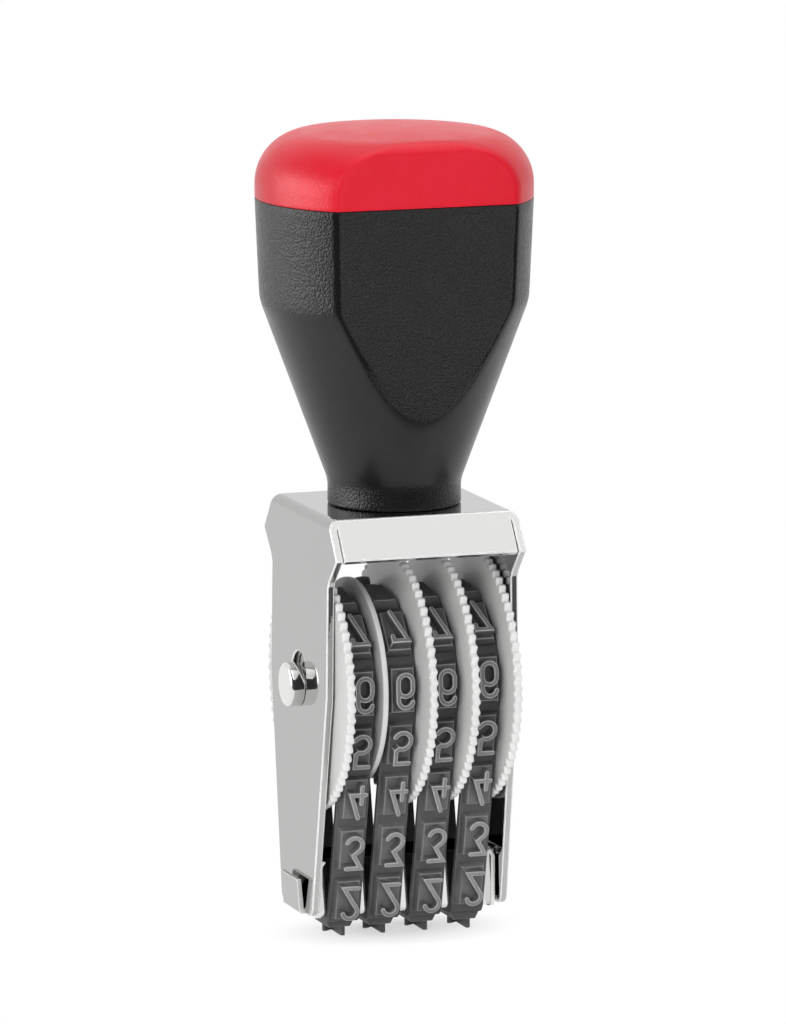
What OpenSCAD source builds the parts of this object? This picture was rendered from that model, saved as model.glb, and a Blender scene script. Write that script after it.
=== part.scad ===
// Hand numbering stamp: four rubber number bands run round white setting wheels on one axle
// and round a printing bridge between the feet of a folded frame.
// Millimetres. Front is -Y, up is +Z, and the stamp stands on the characters at Z = 0.

/* [Characters and bands] */
// height of a printed character, outside of stroke to outside of stroke
char_height = 5.0; // [4.8:0.1:5.4]
// width of a character, outside to outside
char_width = 2.6; // [2.2:0.1:2.7]
// width of a character's stroke
stroke = 0.62; // [0.4:0.02:0.8]
// height of a character above its pad
char_relief = 1.3; // [0.8:0.1:1.5]
// thickness of the running band itself
band_base = 0.8; // [0.6:0.05:1]
// height of a character's pad above the band
pad_relief = 0.9; // [0.5:0.05:1.1]
// length of a pad along the band
pad_length = 5.9; // [5.6:0.1:6.2]
// ledge of band left on each side of a pad
pad_ledge = 0.35; // [0.2:0.05:0.5]
// how far a pad's sides draw in towards its face
pad_side_inset = 0.35; // [0.1:0.05:0.5]
// how far a pad's ends draw in towards its face
pad_end_inset = 0.25; // [0.1:0.05:0.4]
// air between a band and the disc beside it
band_side_clearance = 0.125; // [0.05:0.005:0.2]
// height of the sixth character above the axle, as an angle on the drum
sixth_tilt = 2; // [0:0.5:5]
// how much longer a pad is where the band is bent round the drum
pad_bend_gain = 0.35; // [0:0.05:0.5]
// how far each band stands past its printing place, towards the front
band_1_slip = 0.05; // [0:0.05:1]
// the same for the second band
band_2_slip = 0.2; // [0:0.05:1]
// the same for the third band
band_3_slip = 0.35; // [0:0.05:1]
// the same for the fourth band
band_4_slip = 0.9; // [0:0.05:1]

/* [Setting wheels] */
// radius of the knurled disc over the ribs
disc_radius = 16.9; // [16:0.1:17.4]
// thickness of the knurled disc
disc_thickness = 1.05; // [0.8:0.05:1.3]
// number of ribs round a disc
rib_count = 72; // [60:4:84]
// depth of the groove between two ribs
rib_depth = 0.6; // [0.3:0.05:0.8]
// width of the drum that carries one band
drum_width = 4.7; // [4.4:0.05:5]
// radius inside a band where it passes over its drum
band_inner_radius = 10.5; // [10:0.1:11]
// air between drum and band
drum_clearance = 0.3; // [0.3:0.05:0.5]
// thickness of the smooth separator between the first two wheels
separator_thickness = 0.75; // [0.5:0.05:0.9]
// radius of the smooth separator
separator_radius = 13.7; // [13:0.1:14.5]
// side play of each wheel on the axle
side_play = 0.075; // [0.06:0.005:0.12]

/* [Axle] */
// height of the axle above the printing plane
axle_height = 33.84; // [33:0.1:35]
// diameter of the axle
axle_diameter = 5.86; // [5:0.02:6.2]
// diameter of the groove that sits in the side plate
groove_diameter = 4.4; // [3.8:0.1:4.6]
// how far an axle head stands out of its plate
head_length = 1.95; // [1.5:0.05:2.4]
// rounding of a head's rim
head_round = 0.45; // [0.2:0.05:0.7]
// radial running clearance of wheels and separator on the axle
running_clearance = 0.05; // [0.03:0.01:0.1]
// play of the groove on each side of the plate
groove_play = 0.05; // [0.03:0.01:0.1]
// radial air of the groove in its slot
slot_clearance = 0.03; // [0.02:0.01:0.08]
// radial air of the axle in the upper hole that it passes on assembly
pass_clearance = 0.1; // [0.05:0.05:0.3]
// lift needed to free the axle from its slot
keyhole_lift = 1.3; // [1:0.1:2]

/* [Frame] */
// thickness of the frame sheet
sheet = 1.0; // [0.8:0.05:1.2]
// room from the tops of the wheels to the top of the frame
head_room = 6.66; // [6.2:0.02:8]
// half depth of the top plate
top_half_depth = 11.45; // [10.5:0.05:12.5]
// half depth over the two lips
lip_half_depth = 14.97; // [14:0.05:16]
// drop of the lips below the top of the frame
lip_drop = 4.9; // [3.9:0.1:5.9]
// drop to the waist under the lips, where the side plates are narrow again
waist_drop = 9; // [7.5:0.1:10.5]
// height of the small corner above the waist
waist_corner = 1; // [0.5:0.1:1.5]
// depth of that corner
waist_step = 0.55; // [0.3:0.05:0.8]
// half depth of the side plates above the axle
plate_half_depth = 11.47; // [10.5:0.05:12.5]
// half depth of the side plates at the bottom
foot_half_depth = 6.5; // [6:0.05:7]
// rounding of the side plates' lower corners
foot_round = 1.6; // [0.8:0.1:2]
// outside bend radius between top plate and side plates
bend_radius = 1.3; // [1.1:0.1:2]
// open seam between a lip and a side plate
seam = 0.12; // [0.05:0.01:0.3]
// how far the side plates spread, measured down at the printing plane
plate_spread_width = 0.6; // [0:0.05:0.8]

/* [Printing bridge] */
// thickness of the bridge sheet
bridge_sheet = 0.6; // [0.4:0.05:0.8]
// half width of the flat under the bridge
bridge_half_flat = 3.23; // [3.1:0.01:3.6]
// outside radius of the bridge's lower edges
bridge_round = 0.8; // [0.7:0.05:1]
// height of the bridge's walls
bridge_wall = 7; // [5:0.1:7.4]
// air between bridge wall and band
bridge_clearance = 0.1; // [0.05:0.01:0.2]
// air between the ear and its side plate
ear_gap = 0.3; // [0.1:0.05:0.4]
// depth of the ear inside each side plate
ear_depth = 10.4; // [9:0.1:11]
// height of the ear
ear_height = 7.9; // [6:0.1:8.4]
// rounding of the ear's lower corners
ear_round = 1.2; // [0.6:0.1:1.6]
// length of the ear's bent tip
ear_tip = 0.9; // [0.5:0.1:1.4]
// reach of that tip towards the bands
ear_bend = 0.5; // [0.2:0.05:0.7]
// air between the hook and its side plate
hook_gap = 0.1; // [0.05:0.05:0.3]
// width of the hook outside each side plate
hook_width = 6.8; // [5:0.1:8]
// height of the hook
hook_height = 4.65; // [4:0.05:6]
// how far the hook's leg stands above the underside of the bridge, in a notch of the side plate
hook_rise = 0.6; // [0.3:0.05:0.9]
// air beside the hook in that notch
notch_air = 0.1; // [0.05:0.05:0.3]
// lean of the hook's top away from the plate
hook_lean = 0.4; // [0.2:0.05:0.6]

/* [Handle] */
// radius of the handle at the seam under the cap
handle_radius = 18.3; // [17.5:0.1:19]
// half depth between the flats at the seam
handle_half_depth = 13.42; // [12.5:0.05:14]
// height of the cap over the seam
cap_height = 9.35; // [8.5:0.05:10.5]
// radius of the cap's slightly domed top
cap_crown = 104; // [80:1:150]
// rounding of the cap's shoulder on the round sides
cap_shoulder = 6.9; // [5:0.1:7.4]
// rounding of the cap's shoulder over the flats
cap_brow = 2.3; // [1.5:0.1:3]
// height of the upright part of the handle
grip_height = 13.5; // [11:0.1:16]
// height of the cone under it
cone_height = 23.8; // [21:0.1:27]
// how much the upright part narrows towards the cone, on the radius
grip_taper = 0.6; // [0.2:0.1:1]
// rounding of the bend between the cone and the upright part
cone_bend = 7; // [4:0.5:10]
// radius of the neck
neck_radius = 8.8; // [8:0.1:9.4]
// height of the neck
neck_height = 3.3; // [2.5:0.1:4.5]
// draft of the flats, millimetres per millimetre of height
flat_draft = 0.035; // [0.01:0.005:0.05]
// wall of the handle
handle_wall = 2.2; // [1.8:0.1:2.6]
// thickness of the floor in the neck
neck_floor = 4; // [3:0.1:5]
// depth of the cap's plug in the handle
plug_depth = 4; // [3:0.1:6]
// air round the plug
plug_clearance = 0.25; // [0.2:0.05:0.4]
// wall of the plug
plug_wall = 1.7; // [1.2:0.1:2]
// roof of the cap over its hollow
cap_roof = 3; // [2.5:0.1:4]

/* [Fixing screw] */
// diameter of the screw
screw_diameter = 5; // [4:0.1:5]
// diameter of the screw's head
screw_head = 9; // [7:0.1:9.4]
// height of the screw's head
screw_head_height = 3; // [2:0.1:4]
// thickness of the washer under the head
washer_thickness = 0.8; // [0.5:0.1:1.2]
// diameter of the washer
washer_diameter = 11; // [9:0.1:11.4]
// width of the driver slot
driver_slot = 1.2; // [0.8:0.1:1.6]
// depth of the driver slot
driver_depth = 1.4; // [0.8:0.1:1.8]
// height of the nut under the top plate
nut_height = 3.6; // [2.5:0.1:3.8]
// width of the nut across its flats
nut_flats = 8; // [7:0.1:8]
// radial air of the screw in its nut
nut_clearance = 0.02; // [0.01:0.01:0.05]
// length of the screw that shows under the nut
screw_end = 0.2; // [0:0.1:0.8]
// radial clearance of the screw in handle and frame
screw_clearance = 0.2; // [0.1:0.05:0.3]

/* [Hidden] */
$fn = 96;
// turn between two points of an arc
arc_step = 11.25;
glyph_step = 20;
end_step = 30;
corner_step = 13;
drum_step = 5;
shoulder_step = 7.5;
crown_step = 1.5;
// how far a cutting shape runs past what it cuts, and how far joined shapes reach into each other
cut = 1;
bury = 0.2;
// half width of a shape that is wider than the whole stamp
wide = 50;
// how far the section over the flats clears the dome in the middle
brow_rise = 0.03;
// places along one band before and after the printing face
first_place = -4;
last_place = 9;
straight_places = 4;
// corners of one rib, as shares of its pitch and of its depth
rib_corners = [[0.07, 1], [0.29, 0.22], [0.42, 0], [0.58, 0], [0.71, 0.22], [0.93, 1]];
// width of the keyhole's throat as a share of its slot
throat = 0.9;
inner_half = (4 * (disc_thickness + drum_width) + separator_thickness + 6 * side_play) / 2;
outer_half = inner_half + sheet;
band_width = drum_width - 2 * band_side_clearance;
pad_width = band_width - 2 * pad_ledge;
band_bottom = char_relief + pad_relief;
bridge_bottom = band_bottom + band_base;
corner_z = bridge_bottom + bridge_round;
corner_reach = axle_height - corner_z;
corner_distance = sqrt(pow(corner_reach, 2) + pow(bridge_half_flat, 2));
run_tilt = asin((band_inner_radius - bridge_round) / corner_distance) - atan2(bridge_half_flat, corner_reach);
run_length = sqrt(pow(corner_distance, 2) - pow(band_inner_radius - bridge_round, 2));
neutral = band_base / 2;
corner_arc = (bridge_round + neutral) * (90 - run_tilt) * PI / 180;
run_start = bridge_half_flat + corner_arc;
run_end = run_start + run_length;
drum_neutral = band_inner_radius + neutral;
char_pitch = (run_end + (run_tilt + sixth_tilt) * PI / 180 * drum_neutral) / 5;
wheel_width = disc_thickness + drum_width;
wheel_1_start = -inner_half + side_play;
separator_start = wheel_1_start + wheel_width + side_play;
wheel_2_start = separator_start + separator_thickness + side_play;
wheel_3_start = wheel_2_start + wheel_width + side_play;
wheel_4_start = wheel_3_start + wheel_width + side_play;
band_1_x = wheel_1_start + disc_thickness + drum_width / 2;
band_2_x = wheel_2_start + drum_width / 2;
band_3_x = wheel_3_start + drum_width / 2;
band_4_x = wheel_4_start + drum_width / 2;
bore_radius = axle_diameter / 2 + running_clearance;
foot_z = bridge_bottom + bridge_sheet;
notch_top = foot_z + hook_rise;
frame_top = axle_height + disc_radius + head_room;
top_under = frame_top - sheet;
bend_start = frame_top - bend_radius;
axle_spread = spread_at(axle_height);
foot_inner = inner_half + spread_at(foot_z);
foot_outer = outer_half + spread_at(foot_z);
lip_height = frame_top - lip_drop;
waist_height = frame_top - waist_drop;
plate_taper = atan2(plate_half_depth - foot_half_depth, axle_height - foot_z);
neck_top = frame_top + neck_height;
cone_top = neck_top + cone_height;
seam_height = cone_top + grip_height;
cap_top = seam_height + cap_height;
cone_radius = handle_radius - grip_taper;
neck_inner = neck_radius - handle_wall;
floor_top = frame_top + neck_floor;
screw_hole = screw_diameter / 2 + screw_clearance;
half_w = char_width / 2 - stroke / 2;
half_h = char_height / 2 - stroke / 2;
round_centre = half_h - half_w;

// Arc points in the plane of a drawing, angles in degrees, both ends included
function arc(cx, cy, r, from, to, step = arc_step) =
    let (n = max(1, ceil(abs(to - from) / step)))
    [for (i = [0:n]) let (a = from + (to - from) * i / n) [cx + r * cos(a), cy + r * sin(a)]];

// Unit direction from one point to another
function direction(a, b) = (b - a) / norm(b - a);

// Sideways step at one point of a line of points, mitred where the line turns
function side_step(p, i, half) =
    let (n = len(p) - 1,
        d0 = direction(p[max(i - 1, 0)], p[max(i, 1)]),
        d1 = direction(p[min(i, n - 1)], p[min(i + 1, n)]),
        n0 = [-d0[1], d0[0]],
        n1 = [-d1[1], d1[0]],
        m = n0 + n1)
    m * half * 2 / (m * m);

// Heading of a line from one point to another
function heading(a, b) = atan2(b[1] - a[1], b[0] - a[0]);

// Outline of a stroke that follows a line of points, with a round end at each side
function stroke_outline(p, half) =
    let (n = len(p) - 1, start = heading(p[0], p[1]), end = heading(p[n - 1], p[n]))
    concat([for (i = [1:1:n - 1]) p[i] + side_step(p, i, half)],
        arc(p[n][0], p[n][1], half, end + 90, end - 90, end_step),
        [for (i = [n - 1:-1:1]) p[i] - side_step(p, i, half)],
        arc(p[0][0], p[0][1], half, start - 90, start - 270, end_step));

// Outline round two circles of equal radius, one above the other
function oval(low, high, r) =
    concat(arc(0, high, r, 0, 180, glyph_step), arc(0, low, r, 180, 360, glyph_step));

// One stroke of a character
module pen(p) {
    polygon(stroke_outline(p, stroke / 2));
}

// One closed loop of a character
module loop_pen(low, high, r) {
    difference() {
        polygon(oval(low, high, r + stroke / 2));
        polygon(oval(low, high, r - stroke / 2));
    }
}

// Open bowl at the foot of a character
function bowl(x, r, from, to) = arc(x * half_w, r * half_w - half_h, r * half_w, from, to, glyph_step);

module one() {
    stem = half_w * 0.62;
    pen([[-half_w * 0.75, half_h * 0.57], [stem, half_h], [stem, -half_h]]);
}

module two() {
    pen(concat(arc(0, round_centre, half_w, 165, -20, glyph_step),
        [[-half_w, -half_h], [half_w, -half_h]]));
}

module three() {
    pen(concat([[-half_w, half_h], [half_w, half_h], [-half_w * 0.1, half_h * 0.16]],
        bowl(-0.05, 1.11, 60, -155)));
}

module four() {
    bar = -half_h * 0.48;
    stem = half_w * 0.45;
    pen([[half_w * 0.1, half_h], [-half_w, bar], [half_w, bar]]);
    pen([[stem, half_h * 0.07], [stem, -half_h]]);
}

module five() {
    back = -half_w * 0.87;
    pen(concat([[half_w, half_h], [back, half_h], [back, half_h * 0.18]], bowl(-0.08, 1.18, 108, -150)));
}

module six() {
    loop_pen(-round_centre, -half_h * 0.14, half_w);
    pen(concat(arc(0, round_centre, half_w, 15, 180, glyph_step), [[-half_w, -half_h * 0.41]]));
}

module seven() {
    pen([[-half_w, half_h * 0.68], [-half_w, half_h], [half_w, half_h], [-half_w * 0.6, -half_h]]);
}

module eight() {
    loop_pen(-round_centre, -half_h * 0.375, half_w);
    loop_pen(half_h * 0.465, round_centre, half_w);
}

// Characters by their place on the band: 1 to 7, a blank pad, 8, 9 and 0, and plain signs before the 1
module character(k) {
    if (k == 0) one();
    if (k == 1) two();
    if (k == 2) three();
    if (k == 3) four();
    if (k == 4) five();
    if (k == 5) six();
    if (k == 6) seven();
    if (k == 8) eight();
    if (k == 9) rotate([0, 0, 180]) six();
    if (k == -4) loop_pen(-round_centre, round_centre, half_w);
    if (k == -1) pen([[-half_w, 0], [half_w, 0]]);
    if (k == -2) pen([[-half_w * 0.8, -half_h], [half_w * 0.8, half_h]]);
    if (k == -3) pen([[0, -half_h], [0, -half_h + stroke / 4]]);
}

// Place on the band at a distance along it from the middle of the printing face:
// [y, z, angle of the outward normal]
function on_front(s) =
    s <= bridge_half_flat ? [-s, bridge_bottom, -90] :
    s <= run_start ?
        let (a = -90 + (s - bridge_half_flat) / (bridge_round + neutral) * 180 / PI)
        [-bridge_half_flat - bridge_round * cos(a), corner_z + bridge_round * sin(a), a] :
    s <= run_end ?
        let (d = s - run_start)
        [-bridge_half_flat - bridge_round * cos(run_tilt) - d * sin(run_tilt),
            corner_z - bridge_round * sin(run_tilt) + d * cos(run_tilt), -run_tilt] :
    let (a = -run_tilt + (s - run_end) / drum_neutral * 180 / PI)
    [-band_inner_radius * cos(a), axle_height + band_inner_radius * sin(a), a];

function on_band(s) = s >= 0 ? on_front(s) : let (p = on_front(-s)) [-p[0], p[1], 180 - p[2]];

// Whole outline of the band in the Y-Z plane, a given distance outside its inner face
function band_outline(off) = concat(
    [for (p = arc(0, axle_height, band_inner_radius + off, 180 + run_tilt, -run_tilt, drum_step)) p],
    [for (p = arc(bridge_half_flat, corner_z, bridge_round + off, -run_tilt, -90, corner_step)) p],
    [for (p = arc(-bridge_half_flat, corner_z, bridge_round + off, -90, -180 + run_tilt, corner_step)) p]);

// Turns a drawing made in the Y-Z plane into a solid across X, centred
module across(width) {
    rotate([90, 0, 90])
        linear_extrude(height = width, center = true)
            children();
}

// Section of a pad: upright inside the band, drawn in towards its face
function pad_section(half, inset) =
    [[-half, bury], [half, bury], [half, band_base], [half - inset, band_base + pad_relief],
        [-half + inset, band_base + pad_relief], [-half, band_base]];

module pad(length) {
    intersection() {
        rotate([90, 0, 0])
            linear_extrude(height = length + cut, center = true)
                polygon(pad_section(pad_width / 2, pad_side_inset));
        across(pad_width + cut) polygon(pad_section(length / 2, pad_end_inset));
    }
}

module number_band(x, slip) {
    color([0.36, 0.36, 0.37])
    translate([x, 0, 0]) {
        difference() {
            across(band_width) polygon(band_outline(band_base));
            across(band_width + cut) polygon(band_outline(0));
        }
        for (k = [first_place:last_place]) {
            place = on_band(k * char_pitch + slip);
            bent = abs(k) > straight_places ? pad_bend_gain : 0;
            translate([0, place[0], place[1]])
                rotate([90 - place[2], 0, 0]) {
                    pad(pad_length + bent);
                    translate([0, 0, band_base + pad_relief - bury])
                        linear_extrude(height = char_relief + bury)
                            mirror([0, 1, 0]) character(k);
                }
        }
    }
}

// Knurled outline: each rib has a blunt tip and a narrow root
function rib_points() = [for (i = [0:rib_count - 1]) for (corner = rib_corners)
    let (a = (i + corner[0]) * 360 / rib_count,
        r = disc_radius - corner[1] * rib_depth)
    [r * cos(a), r * sin(a)]];

// One wheel along +Z from its knurled face
module wheel() {
    color([0.95, 0.95, 0.94])
    difference() {
        union() {
            linear_extrude(height = disc_thickness) polygon(rib_points());
            translate([0, 0, disc_thickness - bury])
                cylinder(h = drum_width + bury, r = band_inner_radius - drum_clearance);
        }
        translate([0, 0, -cut])
            cylinder(h = wheel_width + 2 * cut, r = bore_radius);
    }
}

module setting_wheel_1() {
    translate([wheel_1_start, 0, axle_height]) rotate([0, 90, 0]) wheel();
}

module wheel_with_disc_right(start) {
    translate([start + wheel_width, 0, axle_height]) rotate([0, -90, 0]) wheel();
}

module setting_wheel_2() { wheel_with_disc_right(wheel_2_start); }

module setting_wheel_3() { wheel_with_disc_right(wheel_3_start); }

module setting_wheel_4() { wheel_with_disc_right(wheel_4_start); }

module number_band_1() { number_band(band_1_x, band_1_slip); }

module number_band_2() { number_band(band_2_x, band_2_slip); }

module number_band_3() { number_band(band_3_x, band_3_slip); }

module number_band_4() { number_band(band_4_x, band_4_slip); }

module separator_disc() {
    color([0.85, 0.85, 0.85])
    translate([separator_start, 0, axle_height]) rotate([0, 90, 0])
        difference() {
            cylinder(h = separator_thickness, r = separator_radius);
            translate([0, 0, -cut]) cylinder(h = separator_thickness + 2 * cut, r = bore_radius);
        }
}

// Half of the axle's section from the middle outwards
function axle_half() =
    let (r = axle_diameter / 2,
        groove = groove_diameter / 2,
        shoulder = inner_half + axle_spread - groove_play,
        inner_face = outer_half + axle_spread + groove_play,
        end = outer_half + axle_spread + head_length)
    concat([[r, shoulder], [groove, shoulder], [groove, inner_face], [r, inner_face]],
        arc(r - head_round, end - head_round, head_round, 0, 90), [[0, end]]);

module axle() {
    half = axle_half();
    color([0.8, 0.8, 0.8])
    translate([0, 0, axle_height]) rotate([0, 90, 0])
        rotate_extrude()
            polygon(concat(half, [for (i = [len(half) - 1:-1:0]) [half[i][0], -half[i][1]]]));
}

// Side outline of the frame in the Y-Z plane, front half from the top down
function frame_front_edge() = concat(
    [[-top_half_depth, frame_top], [-lip_half_depth, lip_height],
        [-plate_half_depth - waist_step, waist_height + waist_corner], [-plate_half_depth, waist_height],
        [-plate_half_depth, axle_height]],
    arc(-foot_half_depth + foot_round, foot_z + foot_round, foot_round, 180 + plate_taper, 270, corner_step));

function frame_outline() =
    let (edge = frame_front_edge())
    concat(edge, [for (i = [len(edge) - 1:-1:0]) [-edge[i][0], edge[i][1]]]);

// How far a side plate stands outside its place under the bend, at a given height
function spread_at(z) = plate_spread_width * (bend_start - z) / bend_start;

// Folded section of the frame in the X-Z plane
function fold(half, top, r, low) = concat([[half + spread_at(low), low]], arc(half - r, top - r, r, 0, 90),
    arc(-half + r, top - r, r, 90, 180), [[-half - spread_at(low), low]]);

// Sloping lip in the Y-Z plane, front one
function lip_outline() =
    let (d = direction([-top_half_depth, frame_top], [-lip_half_depth, lip_height]),
        inward = [-d[1], d[0]] * sheet,
        lip = [-lip_half_depth, lip_height],
        inner = lip + inward,
        back = (top_under - inner[1]) / d[1])
    [[-top_half_depth, frame_top], lip, inner, inner + d * back,
        inner + d * back + [sheet, 0], [-top_half_depth + sheet, frame_top]];

module lip() {
    across(2 * (inner_half - seam)) polygon(lip_outline());
}

// Keyhole of the axle: its end passes the upper hole, its groove sits in the slot below
module keyhole() {
    slot = groove_diameter / 2 + slot_clearance;
    through = 2 * outer_half + 2 * cut;
    translate([0, 0, axle_height]) rotate([0, 90, 0])
        cylinder(h = through, r = slot, center = true);
    translate([0, 0, axle_height + keyhole_lift]) rotate([0, 90, 0])
        cylinder(h = through, r = axle_diameter / 2 + pass_clearance, center = true);
    translate([-through / 2, -slot * throat, axle_height])
        cube([through, 2 * slot * throat, keyhole_lift]);
}

// Notch for a hook's leg in the foot of each side plate, in the Y-Z plane
function notch_outline() =
    let (half = hook_width / 2 + notch_air)
    [[-half, foot_z - cut], [half, foot_z - cut], [half, notch_top], [-half, notch_top]];

module frame() {
    color([0.78, 0.78, 0.77])
    difference() {
        union() {
            intersection() {
                rotate([90, 0, 0])
                    linear_extrude(height = 2 * (lip_half_depth + cut), center = true)
                        difference() {
                            polygon(fold(outer_half, frame_top, bend_radius, 0));
                            polygon(fold(inner_half, top_under, bend_radius - sheet, -cut));
                        }
                across(2 * (outer_half + cut)) polygon(frame_outline());
            }
            lip();
            mirror([0, 1, 0]) lip();
        }
        keyhole();
        across(2 * wide) polygon(notch_outline());
        translate([0, 0, top_under - cut]) cylinder(h = sheet + 2 * cut, r = screw_hole);
    }
}

// Trough of the bridge in the Y-Z plane, a given distance outside its inner face
function trough_side(off) =
    let (centre = -bridge_half_flat + bridge_clearance)
    concat([[centre - off, corner_z + bridge_wall]], arc(centre, corner_z, off, 180, 270, corner_step));

function trough_outline() =
    let (outer = trough_side(bridge_round), inner = trough_side(bridge_round - bridge_sheet))
    concat(outer, [for (i = [len(outer) - 1:-1:0]) [-outer[i][0], outer[i][1]]],
        [for (p = inner) [-p[0], p[1]]], [for (i = [len(inner) - 1:-1:0]) inner[i]]);

// Hook round the foot of the left side plate, in the X-Z plane
function hook_outline() =
    let (x = -foot_outer - hook_gap,
        z = bridge_bottom + hook_rise,
        root = -foot_inner + ear_gap + bridge_sheet,
        bevel = bridge_sheet / 3)
    [[root, z], [x - bridge_sheet + bevel, z], [x - bridge_sheet, z + bevel],
        [x - bridge_sheet - hook_lean, z + hook_height], [x - hook_lean, z + hook_height],
        [x, z + bridge_sheet], [root, z + bridge_sheet]];

// Ear inside the left side plate with its bent tip, in the X-Z plane, longer at the foot than the ear
function ear_outline() =
    let (x = -foot_inner + ear_gap,
        z = bridge_bottom,
        bend = z + ear_height - ear_tip,
        tip = x + bridge_sheet + ear_bend)
    [[x, z - cut], [x + bridge_sheet, z - cut], [x + bridge_sheet, bend],
        [tip, z + ear_height - bridge_sheet / 3], [tip - bridge_sheet, z + ear_height], [x, bend]];

// Side of the ear in the Y-Z plane, higher than the ear
function ear_side() =
    let (half = ear_depth / 2, z = bridge_bottom + ear_round, high = bridge_bottom + ear_height + cut)
    concat([[half, high], [-half, high]],
        arc(-half + ear_round, z, ear_round, 180, 270, corner_step),
        arc(half - ear_round, z, ear_round, 270, 360, corner_step));

module bridge_end() {
    rotate([90, 0, 0]) linear_extrude(height = hook_width, center = true) polygon(hook_outline());
    intersection() {
        rotate([90, 0, 0]) linear_extrude(height = ear_depth + cut, center = true) polygon(ear_outline());
        across(2 * wide) polygon(ear_side());
    }
}

module printing_bridge() {
    color([0.82, 0.82, 0.81]) {
        across(2 * (foot_inner - ear_gap)) polygon(trough_outline());
        bridge_end();
        mirror([1, 0, 0]) bridge_end();
    }
}

// Flats of the handle: a section across Y with the draft of the mould
module flats(half, low, high) {
    across(2 * wide)
        polygon([[-half, high], [half, high],
            [half - (high - low) * flat_draft, low], [-half + (high - low) * flat_draft, low]]);
}

// Half section of the handle's outside, with a soft bend at the top of the cone
function handle_outline() =
    let (low = atan2(cone_radius - neck_radius, cone_height),
        high = atan2(grip_taper, grip_height),
        reach = cone_bend * tan((low - high) / 2),
        start = [cone_radius - reach * sin(low), cone_top - reach * cos(low)],
        centre = start + cone_bend * [-cos(low), sin(low)])
    concat([[0, frame_top], [neck_radius, frame_top], [neck_radius, neck_top]],
        arc(centre[0], centre[1], cone_bend, -low, -high, drum_step),
        [[handle_radius, seam_height], [0, seam_height]]);

module handle_body() {
    color([0.13, 0.13, 0.13])
    difference() {
        intersection() {
            rotate_extrude() polygon(handle_outline());
            flats(handle_half_depth, frame_top - cut, seam_height);
        }
        intersection() {
            rotate_extrude()
                polygon([[0, floor_top], [neck_inner, floor_top], [cone_radius - handle_wall, cone_top],
                    [handle_radius - handle_wall, seam_height + cut], [0, seam_height + cut]]);
            flats(handle_half_depth - handle_wall, frame_top - cut, seam_height + cut);
        }
        translate([0, 0, frame_top - cut]) cylinder(h = neck_floor + 2 * cut, r = screw_hole);
    }
}

// Half section of a dome over the seam: a wall, a shoulder and a wide crown that passes into it
function dome_half(half, shoulder, top) =
    let (rise = sqrt(pow(cap_crown - shoulder, 2) - pow(half - shoulder, 2)),
        turn = atan2(rise, half - shoulder),
        crown = arc(0, top - cap_crown, cap_crown, turn, 90, crown_step))
    concat([[half, seam_height]],
        arc(half - shoulder, top - cap_crown + rise, shoulder, 0, turn, shoulder_step),
        [for (i = [1:len(crown) - 1]) crown[i]]);

// Section of the cap across Y, with the smaller rounding over the flats
function brow_outline() =
    let (side = dome_half(handle_half_depth, cap_brow, cap_top + brow_rise))
    concat(side, [for (i = [len(side) - 2:-1:0]) [-side[i][0], side[i][1]]]);

// Upright prism with two round sides and two flats
module flat_sided(r, half, low, high) {
    intersection() {
        translate([0, 0, low]) cylinder(h = high - low, r = r);
        translate([-wide, -half, low]) cube([2 * wide, 2 * half, high - low]);
    }
}

module handle_cap() {
    plug_radius = handle_radius - handle_wall - plug_clearance;
    plug_half = handle_half_depth - handle_wall - plug_clearance;
    low = seam_height - plug_depth;
    color([0.86, 0.13, 0.2])
    difference() {
        union() {
            intersection() {
                rotate_extrude()
                    polygon(concat([[0, seam_height]], dome_half(handle_radius, cap_shoulder, cap_top)));
                across(2 * wide) polygon(brow_outline());
            }
            flat_sided(plug_radius, plug_half, low, seam_height + bury);
        }
        flat_sided(plug_radius - plug_wall, plug_half - plug_wall, low - cut, cap_top - cap_roof);
    }
}

module screw_washer() {
    color([0.75, 0.75, 0.75])
    translate([0, 0, floor_top])
        difference() {
            cylinder(h = washer_thickness, d = washer_diameter);
            translate([0, 0, -cut]) cylinder(h = washer_thickness + 2 * cut, r = screw_hole);
        }
}

module handle_screw() {
    head_low = floor_top + washer_thickness;
    head_top = head_low + screw_head_height;
    end = top_under - nut_height - screw_end;
    color([0.7, 0.7, 0.72])
    difference() {
        union() {
            translate([0, 0, end]) cylinder(h = head_low - end + bury, d = screw_diameter);
            translate([0, 0, head_low]) cylinder(h = screw_head_height, d = screw_head);
        }
        translate([-screw_head, -driver_slot / 2, head_top - driver_depth])
            cube([2 * screw_head, driver_slot, driver_depth + cut]);
    }
}

module screw_nut() {
    color([0.75, 0.75, 0.75])
    translate([0, 0, top_under - nut_height])
        difference() {
            cylinder(h = nut_height, r = nut_flats / sqrt(3), $fn = 6);
            translate([0, 0, -cut])
                cylinder(h = nut_height + 2 * cut, r = screw_diameter / 2 + nut_clearance);
        }
}

handle_cap();
handle_body();
handle_screw();
screw_washer();
screw_nut();
frame();
printing_bridge();
axle();
separator_disc();
setting_wheel_1();
setting_wheel_2();
setting_wheel_3();
setting_wheel_4();
number_band_1();
number_band_2();
number_band_3();
number_band_4();
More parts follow.
